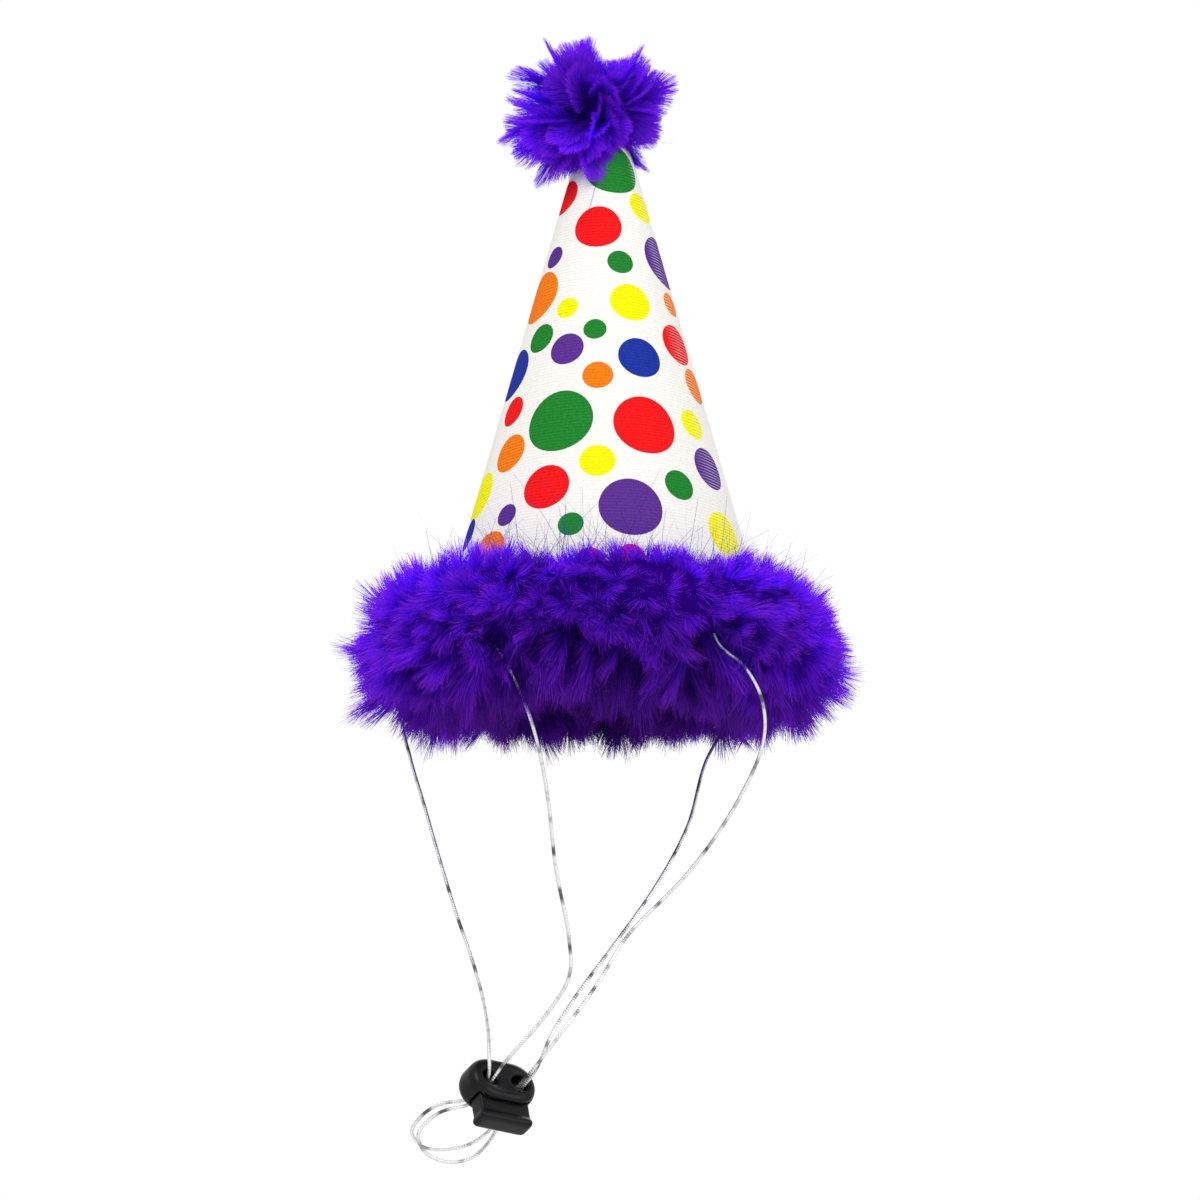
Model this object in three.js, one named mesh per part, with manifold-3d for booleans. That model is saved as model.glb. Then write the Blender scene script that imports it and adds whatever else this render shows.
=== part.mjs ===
// Dog party hat: a printed cloth cone with a feather brim and a feather pompom, tied under
// the chin by two elastic cords that share a spring cord lock.
// Millimetres, +Z up. The origin is the centre of the opening at the cone's lower edge,
// +Z runs along the hat to its tip, -Y is the front and +X the viewer's right.
import * as THREE from "three";
import { mergeVertices } from "three/addons/utils/BufferGeometryUtils.js";
import Module from "manifold-3d";

const wasm = await Module();
wasm.setup();

// Driving dimensions
const clearance = 0.3;

const cone = {
  baseRadius: 48.6,
  tipRadius: 4.95,
  height: 160,
  wall: 1.5,
  facets: 40,
};

const elastic = {
  diameter: 1.0,
  sides: 6,
  stepsPerPoint: 2,
  holeDiameter: 1.8,
  holeHeight: 4.0,
  holePunchLength: 9,
  knotDiameter: 3.2,
};

const brim = {
  tapeLow: 6.5,
  tapeHeight: 8,
  tapeThickness: 4,
  reach: 24.5,
  lockWidth: 15.5,
  lockThickness: 7,
  partingGap: 0.45,
};

const pompom = {
  coreRadius: 8,
  coreSquash: 0.8,
  rootRadius: 2.4,
  reach: 21,
  lockWidth: 13,
  lockThickness: 7,
  stemLength: 6,
  stemFacets: 12,
};

const barrel = {
  length: 21.5,
  height: 13.8,
  depth: 10.4,
  rounding: 2.6,
  dishLength: 16.5,
  dishHeight: 9.8,
  dishDepth: 0.9,
  cordHoleDiameter: 5,
  cordHoleSpacing: 10,
  cordHolePunchLength: 16,
  cordHoleFacets: 16,
};

const plunger = {
  width: 16,
  depth: 5.4,
  travel: 3,
  topWall: 1.5,
  padWidth: 17.2,
  padDepth: 6.8,
  padHeight: 2.8,
  padRounding: 1.2,
};

// The cord lock hangs turned to one side, with its cord face tipped up towards the cords
const lockPlace = {
  centre: [-29.9, -4, -127.3],
  turn: THREE.MathUtils.degToRad(35),
  tip: THREE.MathUtils.degToRad(23),
  roll: THREE.MathUtils.degToRad(5),
};

// Rows of feather locks on the brim: the tilt from level, the length as a share of the brim's
// reach, the number round the brim, how far the tips bend up and outward as shares of the
// length, the turn of the row, and the column of the fullness table that the row follows
const brimRows = [
  { tilt: 66, length: 0.76, count: 15, up: -0.1, out: 0, turn: 0, fullness: "side" },
  { tilt: 32, length: 0.94, count: 16, up: -0.06, out: 0, turn: 0.5, fullness: "side" },
  { tilt: -4, length: 1, count: 16, up: -0.05, out: 0, turn: 0.2, fullness: "side" },
  { tilt: -43, length: 0.96, count: 15, up: -0.03, out: 0, turn: 0.7, fullness: "below" },
  { tilt: -66, length: 1, count: 16, up: -0.08, out: 0, turn: 0.4, fullness: "below" },
  { tilt: -70, length: 1, count: 15, up: 0, out: -0.85, turn: 0.9, fullness: "inside" },
];

// How full the brim is by degrees round the hat from +X: at its side, where it hangs lowest to
// the left and right, and where it closes in under the opening
const brimFullness = [
  { at: 0, side: 0.92, below: 1.34, inside: 1.3 },
  { at: 45, side: 0.98, below: 1.12, inside: 1.18 },
  { at: 90, side: 0.96, below: 0.95, inside: 1.1 },
  { at: 135, side: 1.0, below: 1.14, inside: 1.18 },
  { at: 180, side: 1.05, below: 1.45, inside: 1.3 },
  { at: 225, side: 1.0, below: 1.16, inside: 1.36 },
  { at: 270, side: 0.94, below: 1.0, inside: 1.4 },
  { at: 315, side: 0.9, below: 1.14, inside: 1.36 },
];

// Rings of feather locks on the pompom, from its top down
const pompomRows = [
  { tilt: 82, length: 0.64, count: 3, up: 0, out: 0, turn: 0.3, fullness: "side" },
  { tilt: 48, length: 0.8, count: 6, up: -0.04, out: 0, turn: 0, fullness: "side" },
  { tilt: 14, length: 0.98, count: 7, up: -0.1, out: 0, turn: 0.5, fullness: "side" },
  { tilt: -20, length: 1.02, count: 7, up: -0.16, out: 0, turn: 0.1, fullness: "side" },
  { tilt: -54, length: 1.12, count: 7, up: -0.1, out: 0, turn: 0.6, fullness: "side" },
];

// How full the pompom is by degrees from +X: most of all to the left and lower left
const pompomFullness = [
  { at: 0, side: 0.8 },
  { at: 60, side: 0.9 },
  { at: 120, side: 1.02 },
  { at: 180, side: 1.22 },
  { at: 240, side: 1.18 },
  { at: 300, side: 0.92 },
];

// How far a single lock strays: its turn as a share of the row's step, its tilt in degrees and
// its length as a share
const stray = { turn: 0.18, tilt: 4, length: 0.05 };

// Sections of one feather lock: the place along it and its width there, as shares
const lockSections = [
  { along: 0, wide: 0.6 },
  { along: 0.4, wide: 1.0 },
  { along: 0.78, wide: 0.72 },
];

// Where each end of a cord goes through the cone, in degrees from +X
const cordHoles = {
  rear_left: 153,
  rear_right: 47,
  front_left: 226,
  front_right: 298,
};

// Routes of the two cords: out of the cone on the left, down to the lock, through its left hole,
// round a loop behind it, back through its right hole and up to the cone on the right
const rearRoute = [
  [-40.9, 20.8, 4], [-44, 22.4, 4], [-47.9, 24.9, 1.4], [-52, 26.5, -6],
  [-57.7, 25.5, -13.9], [-55.7, 22.5, -25.9], [-51.4, 19, -41.1], [-46.6, 15, -58.4],
  [-42, 10.5, -74.1], [-37.1, 5, -89.2], [-33.7, -1.5, -102.5], [-32.3, -8, -112.1],
  [-32, -11.6, -119.5], [-31.9, -11.8, -124], [-32.6, -10.1, -126.7], [-34.9, -6.9, -128.6],
  [-37.3, -3.4, -130.4], [-40.3, 0.5, -130.2], [-46, 2.5, -130.8], [-50.9, 4.5, -133.5],
  [-53.9, 6.5, -138], [-50.6, 8, -141.8], [-44, 8.8, -142.4], [-37.1, 9.2, -140.6],
  [-31.4, 8.8, -136.2], [-28.7, 6.9, -132.5], [-27.6, 2.9, -130.8], [-25, -1.5, -129.1],
  [-22.2, -5.4, -126.7], [-18.9, -9.6, -123.1], [-14.6, -13, -114], [-7.7, -8, -101.8],
  [2.6, 1, -85.8], [14.6, 12, -66.3], [24, 23, -46.2], [29.4, 35, -24.6],
  [38.1, 43.8, -4.5], [35.9, 39.8, 1.6], [33.7, 36.1, 4], [31.3, 33.6, 4],
];
const frontRoute = [
  [-31.9, -33, 4], [-34.3, -35.5, 4], [-37, -39, 1.2], [-34.3, -43.5, -5.7],
  [-29.4, -44, -11.5], [-24, -43, -21.3], [-19.1, -40, -34.4], [-15.7, -35, -50.8],
  [-13.4, -29, -69.9], [-9.7, -23, -89], [-9.7, -20.5, -99], [-16, -17, -109],
  [-27.4, -12.9, -121.6], [-31.2, -9.9, -126.3], [-33.8, -6.2, -128.7], [-36.2, -2.8, -130.4],
  [-38.6, -0.5, -131.6], [-46.3, 1.5, -133.5], [-52, 3, -139.3], [-49.7, 4, -144.3],
  [-43.4, 5, -146.7], [-36.6, 6, -145], [-31.1, 5.6, -139.1], [-29.1, 3.6, -133.8],
  [-28.6, 1, -130.9], [-26, -2.2, -129], [-23.2, -6.1, -126.5], [-19.4, -12.4, -123.3],
  [-12, -17.5, -114.6], [-2, -14, -100], [6.6, -12, -85.7], [23.4, -15, -68.5],
  [37.4, -23, -49.6], [44.6, -32, -33.7], [43.7, -38.5, -23.3], [38.9, -43, -15.7],
  [31.7, -47, -10.2], [28.1, -46.8, 1], [23.2, -43.6, 4], [21.5, -40.5, 4],
];
const pointsInBrim = 7;

// Looks: colour, roughness and metalness of each material
const looks = {
  printedCloth: { color: 0xf5f2ee, roughness: 0.85, metalness: 0 },
  feather: { color: 0x4a0cc0, roughness: 0.9, metalness: 0 },
  silverElastic: { color: 0xb9b9bd, roughness: 0.35, metalness: 0.8 },
  blackPlastic: { color: 0x1c1c1c, roughness: 0.35, metalness: 0 },
};

// The cone's outer surface: its radius at a height, and how much wider a slant wall cuts level
const coneSlope = (cone.baseRadius - cone.tipRadius) / cone.height;
const slantFactor = Math.hypot(1, coneSlope);
const coneRadius = (height) => cone.baseRadius - coneSlope * height;
const innerConeRadius = (height) => coneRadius(height) - cone.wall * slantFactor;

// Solids from geometries and back
function solidOf(geometry) {
  const plain = geometry.index ? geometry.toNonIndexed() : geometry.clone();
  plain.deleteAttribute("normal");
  plain.deleteAttribute("uv");
  const merged = mergeVertices(plain, 1e-4);
  const mesh = new wasm.Mesh({
    numProp: 3,
    vertProperties: new Float32Array(merged.attributes.position.array),
    triVerts: new Uint32Array(merged.index.array),
  });
  return new wasm.Manifold(mesh);
}

function geometryOf(solid) {
  const mesh = solid.getMesh();
  const geometry = new THREE.BufferGeometry();
  geometry.setAttribute("position", new THREE.BufferAttribute(new Float32Array(mesh.vertProperties), 3));
  geometry.setIndex(new THREE.BufferAttribute(new Uint32Array(mesh.triVerts), 1));
  geometry.computeVertexNormals();
  return geometry;
}

// A solid without the crumbs that a cut leaves beside it
function largestPart(solid) {
  const parts = solid.decompose();
  return parts.reduce((largest, part) => (part.volume() > largest.volume() ? part : largest));
}

// A closed body turned about +Z from a profile of [radius, height] points
function turned(profile, facets) {
  const points = profile.map(([radius, height]) => new THREE.Vector2(radius, height));
  return new THREE.LatheGeometry(points, facets).rotateX(Math.PI / 2);
}

// A vector from cylindrical places: radius, degrees from +X and height
function aroundZ(radius, degrees, height) {
  const angle = THREE.MathUtils.degToRad(degrees);
  return new THREE.Vector3(radius * Math.cos(angle), radius * Math.sin(angle), height);
}

// A tube of flat sides along a route; its steps follow the points, which lie closer at the bends
function tubeAlong(points, radius, sides, stepsPerPoint) {
  const path = new THREE.CatmullRomCurve3(points.map((point) => new THREE.Vector3(...point)));
  path.getUtoTmapping = (share) => share;
  const section = new THREE.Shape();
  for (let side = 0; side <= sides; side += 1) {
    const angle = (2 * Math.PI * side) / sides;
    const corner = [radius * Math.cos(angle), radius * Math.sin(angle)];
    if (side === 0) section.moveTo(...corner);
    else section.lineTo(...corner);
  }
  return new THREE.ExtrudeGeometry(section, {
    steps: (points.length - 1) * stepsPerPoint,
    extrudePath: path,
    bevelEnabled: false,
  });
}

// A share read off a column of a closed table with evenly spaced rows, blended between them
function fullness(table, column, degrees) {
  const step = 360 / table.length;
  const place = THREE.MathUtils.euclideanModulo(degrees, 360) / step;
  const row = Math.floor(place) % table.length;
  const next = (row + 1) % table.length;
  const blend = THREE.MathUtils.smoothstep(place - Math.floor(place), 0, 1);
  return THREE.MathUtils.lerp(table[row][column], table[next][column], blend);
}

// A repeatable small variation between -1 and 1 for the numbered lock of a row
function variation(row, index) {
  return Math.sin(row * 12.9 + index * 4.7) * Math.cos(row * 3.1 + index * 9.3);
}

// One feather lock: a flat tapering strip with four-sided sections and a pointed tip, which is
// bent away from its straight direction by the whole of the bend at its tip
function featherLock({ root, direction, side, length, width, thickness, bend }) {
  const flat = new THREE.Vector3().crossVectors(direction, side).normalize();
  const spine = (along) =>
    root
      .clone()
      .addScaledVector(direction, length * along)
      .addScaledVector(bend, length * along * along);
  const corners = [];
  for (const { along, wide } of lockSections) {
    const middle = spine(along);
    corners.push(middle.clone().addScaledVector(side, (width * wide) / 2));
    corners.push(middle.clone().addScaledVector(flat, (thickness * wide) / 2));
    corners.push(middle.clone().addScaledVector(side, (-width * wide) / 2));
    corners.push(middle.clone().addScaledVector(flat, (-thickness * wide) / 2));
  }
  corners.push(spine(1));
  const tip = corners.length - 1;
  const faces = [0, 2, 1, 0, 3, 2];
  for (let section = 0; section < lockSections.length - 1; section += 1) {
    for (let corner = 0; corner < 4; corner += 1) {
      const low = section * 4 + corner;
      const lowNext = section * 4 + ((corner + 1) % 4);
      faces.push(low, lowNext, lowNext + 4, low, lowNext + 4, low + 4);
    }
  }
  for (let corner = 0; corner < 4; corner += 1) {
    faces.push(tip - 4 + corner, tip - 4 + ((corner + 1) % 4), tip);
  }
  const geometry = new THREE.BufferGeometry().setFromPoints(corners);
  geometry.setIndex(faces);
  return geometry;
}

// A ring of feather locks round +Z, rooted at one radius and height
function lockRing(row, rowNumber, table, size) {
  const locks = [];
  for (let index = 0; index < row.count; index += 1) {
    const varied = variation(rowNumber, index);
    const degrees = (360 / row.count) * (index + row.turn + stray.turn * varied);
    const tilt = THREE.MathUtils.degToRad(row.tilt + stray.tilt * varied);
    const full = fullness(table, row.fullness, degrees) * (1 + stray.length * varied);
    locks.push(
      solidOf(
        featherLock({
          root: aroundZ(size.rootRadius, degrees, size.rootHeight),
          direction: aroundZ(Math.cos(tilt), degrees, Math.sin(tilt)),
          side: aroundZ(1, degrees + 90, 0),
          length: size.reach * row.length * full,
          width: size.lockWidth,
          thickness: size.lockThickness,
          bend: aroundZ(row.out, degrees, row.up),
        })
      )
    );
  }
  return locks;
}

// The room that the cone takes, with the clearance all round its outside and past both ends
function coneRoom() {
  const spread = clearance * slantFactor;
  const top = cone.height + clearance;
  const profile = [
    [0, -clearance],
    [coneRadius(-clearance) + spread, -clearance],
    [coneRadius(top) + spread, top],
    [0, top],
  ];
  return solidOf(turned(profile, cone.facets));
}

// The cloth cone: an open shell with a small hole near its edge for each end of the cords
function makeCone() {
  const profile = [
    [coneRadius(0), 0],
    [coneRadius(cone.height), cone.height],
    [innerConeRadius(cone.height), cone.height],
    [innerConeRadius(0), 0],
    [coneRadius(0), 0],
  ];
  let shell = solidOf(turned(profile, cone.facets));
  for (const degrees of Object.values(cordHoles)) {
    const punch = new THREE.CylinderGeometry(
      elastic.holeDiameter / 2,
      elastic.holeDiameter / 2,
      elastic.holePunchLength,
      elastic.sides
    );
    punch.rotateZ(Math.PI / 2).rotateZ(THREE.MathUtils.degToRad(degrees));
    const place = aroundZ(coneRadius(elastic.holeHeight), degrees, elastic.holeHeight);
    shell = shell.subtract(solidOf(punch.translate(place.x, place.y, place.z)));
  }
  return geometryOf(shell);
}

// The feather brim: a tape round the cone and the locks on it, parted round each cord
function makeBrim() {
  const tapeTop = brim.tapeLow + brim.tapeHeight;
  const spread = clearance * slantFactor;
  const inner = (height) => coneRadius(height) + spread;
  const tape = [
    [inner(brim.tapeLow), brim.tapeLow],
    [inner(brim.tapeLow) + brim.tapeThickness, brim.tapeLow],
    [inner(tapeTop) + brim.tapeThickness, tapeTop],
    [inner(tapeTop), tapeTop],
    [inner(brim.tapeLow), brim.tapeLow],
  ];
  const rootHeight = brim.tapeLow + brim.tapeHeight / 2;
  const size = {
    rootRadius: inner(rootHeight) + brim.tapeThickness / 2,
    rootHeight,
    reach: brim.reach,
    lockWidth: brim.lockWidth,
    lockThickness: brim.lockThickness,
  };
  let fluff = solidOf(turned(tape, cone.facets));
  brimRows.forEach((row, rowNumber) => {
    for (const lock of lockRing(row, rowNumber, brimFullness, size)) fluff = fluff.add(lock);
  });
  fluff = fluff.subtract(coneRoom());
  const partingRadius = elastic.diameter / 2 + brim.partingGap;
  for (const route of [rearRoute, frontRoute]) {
    for (const end of [route.slice(0, pointsInBrim), route.slice(-pointsInBrim)]) {
      const parting = tubeAlong(end, partingRadius, elastic.sides, elastic.stepsPerPoint);
      fluff = fluff.subtract(solidOf(parting));
    }
  }
  return geometryOf(largestPart(fluff));
}

// The pompom: a core that sits on the cone's tip, a stem down its mouth, and the locks
function makePompom() {
  const coreHeight = cone.height + pompom.coreRadius * pompom.coreSquash;
  const core = new THREE.IcosahedronGeometry(pompom.coreRadius, 2);
  core.scale(1, 1, pompom.coreSquash).translate(0, 0, coreHeight);
  const size = {
    rootRadius: pompom.rootRadius,
    rootHeight: coreHeight,
    reach: pompom.reach,
    lockWidth: pompom.lockWidth,
    lockThickness: pompom.lockThickness,
  };
  let fluff = solidOf(core);
  pompomRows.forEach((row, rowNumber) => {
    for (const lock of lockRing(row, rowNumber, pompomFullness, size)) fluff = fluff.add(lock);
  });
  const stemRadius = innerConeRadius(cone.height) - clearance;
  const stem = turned(
    [
      [0, cone.height - pompom.stemLength],
      [stemRadius, cone.height - pompom.stemLength],
      [stemRadius, coreHeight],
      [0, coreHeight],
    ],
    pompom.stemFacets
  );
  return geometryOf(fluff.subtract(coneRoom()).add(solidOf(stem)));
}

// A cord's knot inside the cone, just clear of the wall and of the cord's end
function makeKnot(degrees) {
  const radius = elastic.knotDiameter / 2;
  const wallInside = innerConeRadius(elastic.holeHeight);
  const place = aroundZ(wallInside - clearance - radius, degrees, elastic.holeHeight);
  return new THREE.IcosahedronGeometry(radius, 1).translate(place.x, place.y, place.z);
}

// The cord lock, about its own centre: X along it, Z up out of the plunger, -Y out of its cord face
function stadium(length, height) {
  const shape = new THREE.Shape();
  const radius = height / 2;
  const straight = length / 2 - radius;
  shape.absarc(straight, 0, radius, -Math.PI / 2, Math.PI / 2);
  shape.absarc(-straight, 0, radius, Math.PI / 2, (3 * Math.PI) / 2);
  return shape;
}

// A slab of the shape, standing in XZ and centred on Y, with rounded edges
function roundedSlab(shape, depth, rounding) {
  const slab = new THREE.ExtrudeGeometry(shape, {
    depth: depth - 2 * rounding,
    curveSegments: 6,
    bevelThickness: rounding,
    bevelSize: rounding,
    bevelOffset: -rounding,
    bevelSegments: 2,
  });
  return slab.translate(0, 0, rounding - depth / 2).rotateX(Math.PI / 2);
}

// Both cord holes, as cylinders right through in Y at one height
function cordBores(height) {
  const radius = barrel.cordHoleDiameter / 2;
  return [-1, 1].map((end) => {
    const punch = new THREE.CylinderGeometry(
      radius,
      radius,
      barrel.cordHolePunchLength,
      barrel.cordHoleFacets
    );
    return solidOf(punch.translate((end * barrel.cordHoleSpacing) / 2, 0, height));
  });
}

const stemTop = barrel.cordHoleDiameter / 2 - plunger.travel + plunger.topWall;
const slotTop = stemTop + plunger.travel + clearance;
const padTop = -barrel.height / 2 - plunger.travel - clearance;

function makeBarrel() {
  const slotBottom = -barrel.height;
  const slot = new THREE.BoxGeometry(
    plunger.width + 2 * clearance,
    plunger.depth + 2 * clearance,
    slotTop - slotBottom
  ).translate(0, 0, (slotTop + slotBottom) / 2);
  const dish = new THREE.SphereGeometry(1, 16, 8)
    .scale(barrel.dishLength / 2, barrel.dishDepth, barrel.dishHeight / 2)
    .translate(0, -barrel.depth / 2, 0);
  let body = solidOf(roundedSlab(stadium(barrel.length, barrel.height), barrel.depth, barrel.rounding));
  body = body.subtract(solidOf(slot)).subtract(solidOf(dish));
  for (const bore of cordBores(0)) body = body.subtract(bore);
  return geometryOf(body);
}

function makePlunger() {
  const stemBottom = padTop - plunger.padHeight / 2;
  const stem = new THREE.BoxGeometry(plunger.width, plunger.depth, stemTop - stemBottom).translate(
    0,
    0,
    (stemTop + stemBottom) / 2
  );
  const pad = roundedSlab(stadium(plunger.padWidth, plunger.padHeight), plunger.padDepth, plunger.padRounding);
  pad.translate(0, 0, padTop - plunger.padHeight / 2);
  let body = solidOf(stem).add(solidOf(pad));
  for (const bore of cordBores(-plunger.travel)) body = body.subtract(bore);
  return geometryOf(body);
}

// The assembly
const hat = new THREE.Group();

function addPiece(parent, name, geometry, look) {
  const mesh = new THREE.Mesh(geometry, new THREE.MeshStandardMaterial(look));
  mesh.name = name;
  parent.add(mesh);
}

addPiece(hat, "cone_shell", makeCone(), looks.printedCloth);
addPiece(hat, "brim_feathers", makeBrim(), looks.feather);
addPiece(hat, "pompom_feathers", makePompom(), looks.feather);

for (const [name, route] of Object.entries({ elastic_rear: rearRoute, elastic_front: frontRoute })) {
  const tube = tubeAlong(route, elastic.diameter / 2, elastic.sides, elastic.stepsPerPoint);
  addPiece(hat, name, tube, looks.silverElastic);
}
for (const [corner, degrees] of Object.entries(cordHoles)) {
  addPiece(hat, `knot_${corner}`, makeKnot(degrees), looks.silverElastic);
}

const lock = new THREE.Group();
lock.position.set(...lockPlace.centre);
lock.rotation.set(-lockPlace.tip, lockPlace.roll, lockPlace.turn, "ZXY");
hat.add(lock);
addPiece(lock, "lock_barrel", makeBarrel(), looks.blackPlastic);
addPiece(lock, "lock_plunger", makePlunger(), looks.blackPlastic);

export default hat;
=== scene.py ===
from math import atan, atan2, cos, pi, radians, sin

import bpy
import numpy as np
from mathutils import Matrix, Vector
from mathutils.geometry import delaunay_2d_cdt


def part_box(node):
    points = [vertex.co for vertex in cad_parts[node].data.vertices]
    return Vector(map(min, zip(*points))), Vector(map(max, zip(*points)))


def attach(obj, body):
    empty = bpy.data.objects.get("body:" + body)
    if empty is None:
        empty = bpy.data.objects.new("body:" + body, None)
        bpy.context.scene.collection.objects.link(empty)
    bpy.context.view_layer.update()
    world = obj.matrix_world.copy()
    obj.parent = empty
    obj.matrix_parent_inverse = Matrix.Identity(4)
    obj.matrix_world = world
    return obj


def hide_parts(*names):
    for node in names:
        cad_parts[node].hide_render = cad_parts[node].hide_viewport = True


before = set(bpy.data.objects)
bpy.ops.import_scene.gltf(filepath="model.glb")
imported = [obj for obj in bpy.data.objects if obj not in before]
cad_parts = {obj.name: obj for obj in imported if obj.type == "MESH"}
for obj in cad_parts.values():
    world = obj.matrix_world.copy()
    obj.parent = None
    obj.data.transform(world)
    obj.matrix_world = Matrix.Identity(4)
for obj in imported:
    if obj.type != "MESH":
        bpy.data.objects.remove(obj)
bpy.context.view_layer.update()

MM = 0.001

# The cone: the radius of its opening and its height are read off the frame
OPENING_RADIUS, _, CONE_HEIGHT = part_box("cone_shell")[1]
TIP_RADIUS = 4.95 * MM
CONE_WALL = 1.4 * MM
SLOPE = (OPENING_RADIUS - TIP_RADIUS) / CONE_HEIGHT
HALF_ANGLE = atan(SLOPE)

# The camera: it looks up at the hat from a little below, and stands far off for a flat view
CAMERA_ELEVATION = -15
CAMERA_DISTANCE = 1.8
CAMERA_TARGET = Vector((-1.1, 0, 14.8)) * MM
PHOTO_SIZE = 1200
PIXELS_PER_METRE = 3500
SENSOR = 36

# The light: the world's strength, and each lamp's place and size in metres and its power in watts
WORLD_LIGHT = 0.72
LAMPS = (
    ("key", (-0.5, -1.3, 0.9), 0.9, 12),
    ("fill", (1.2, -0.9, 0.1), 0.9, 5),
    ("rim", (0.3, 1.0, 1.0), 0.8, 5),
)

# The floor: how far it is below the hat and half its width, in metres
FLOOR_DROP = 0.62
FLOOR_HALF = 4.0

# The elastic: its thickness, its braid, the place and colour of its dull and its bright stretches
# in the noise along it, painted glints on a painted dull grey, and how finely it is modelled
CORD_DIAMETER = 1.0 * MM
BRAID_PITCH = 1.6 * MM
BRAID_STRANDS = 2
SILVER_AND_PAINTED_GLINTS = ((0.28, (0.12, 0.12, 0.125)), (0.5, (0.84, 0.84, 0.85)))
CORD_SIDES = 10
CORD_STEPS = 14

# The knots: the radius of their strand, how finely they are modelled, and the half depth and the
# half width of the trefoil before it is scaled
KNOT_STRAND = CORD_DIAMETER * 0.42
KNOT_SIDES = 8
KNOT_STEPS = 49
KNOT_DEPTH = 1.4
KNOT_REACH = 3

# The routes of the two cords, from the left knot to the right one, point by point in metres
REAR_ROUTE = (
    (-0.0409, 0.0208, 0.004), (-0.044, 0.0224, 0.004), (-0.0479, 0.0249, 0.0014),
    (-0.052, 0.0265, -0.006), (-0.0577, 0.0255, -0.0139), (-0.0557, 0.0225, -0.0259),
    (-0.0514, 0.019, -0.0411), (-0.0466, 0.015, -0.0584), (-0.042, 0.0105, -0.0741),
    (-0.0371, 0.005, -0.0892), (-0.0337, -0.0015, -0.1025), (-0.0323, -0.008, -0.1121),
    (-0.032, -0.0116, -0.1195), (-0.0319, -0.0118, -0.124), (-0.0326, -0.0101, -0.1267),
    (-0.0349, -0.0069, -0.1286), (-0.0373, -0.0034, -0.1304), (-0.0403, 0.0005, -0.1302),
    (-0.046, 0.0025, -0.1308), (-0.0509, 0.0045, -0.1335), (-0.0539, 0.0065, -0.138),
    (-0.0506, 0.008, -0.1418), (-0.044, 0.0088, -0.1424), (-0.0371, 0.0092, -0.1406),
    (-0.0314, 0.0088, -0.1362), (-0.0287, 0.0069, -0.1325), (-0.0276, 0.0029, -0.1308),
    (-0.025, -0.0015, -0.1291), (-0.0222, -0.0054, -0.1267), (-0.0189, -0.0096, -0.1231),
    (-0.0146, -0.013, -0.114), (-0.0077, -0.008, -0.1018), (0.0026, 0.001, -0.0858),
    (0.0146, 0.012, -0.0663), (0.024, 0.023, -0.0462), (0.0294, 0.035, -0.0246),
    (0.0381, 0.0438, -0.0045), (0.0359, 0.0398, 0.0016), (0.0337, 0.0361, 0.004),
    (0.0313, 0.0336, 0.004),
)
FRONT_ROUTE = (
    (-0.0319, -0.033, 0.004), (-0.0343, -0.0355, 0.004), (-0.037, -0.039, 0.0012),
    (-0.0343, -0.0435, -0.0057), (-0.0294, -0.044, -0.0115), (-0.024, -0.043, -0.0213),
    (-0.0191, -0.04, -0.0344), (-0.0157, -0.035, -0.0508), (-0.0134, -0.029, -0.0699),
    (-0.0097, -0.023, -0.089), (-0.0097, -0.0205, -0.099), (-0.016, -0.017, -0.109),
    (-0.0274, -0.0129, -0.1216), (-0.0312, -0.0099, -0.1263), (-0.0338, -0.0062, -0.1287),
    (-0.0362, -0.0028, -0.1304), (-0.0386, -0.0005, -0.1316), (-0.0463, 0.0015, -0.1335),
    (-0.052, 0.003, -0.1393), (-0.0497, 0.004, -0.1443), (-0.0434, 0.005, -0.1467),
    (-0.0366, 0.006, -0.145), (-0.0311, 0.0056, -0.1391), (-0.0291, 0.0036, -0.1338),
    (-0.0286, 0.001, -0.1309), (-0.026, -0.0022, -0.129), (-0.0232, -0.0061, -0.1265),
    (-0.0194, -0.0124, -0.1233), (-0.012, -0.0175, -0.1146), (-0.002, -0.014, -0.1),
    (0.0066, -0.012, -0.0857), (0.0234, -0.015, -0.0685), (0.0374, -0.023, -0.0496),
    (0.0446, -0.032, -0.0337), (0.0437, -0.0385, -0.0233), (0.0389, -0.043, -0.0157),
    (0.0317, -0.047, -0.0102), (0.0281, -0.0468, 0.001), (0.0232, -0.0436, 0.004),
    (0.0215, -0.0405, 0.004),
)

# The colours of the print and of the cloth's plain back, as linear red, green and blue
PRINT_COLOURS = {
    "cream": (0.90, 0.88, 0.83),
    "red": (0.88, 0.010, 0.012),
    "green": (0.016, 0.22, 0.028),
    "yellow": (0.93, 0.88, 0.004),
    "blue": (0.014, 0.035, 0.33),
    "purple": (0.105, 0.032, 0.27),
    "orange": (0.90, 0.20, 0.008),
}
CLOTH_BACK = (0.72, 0.71, 0.68)
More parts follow.
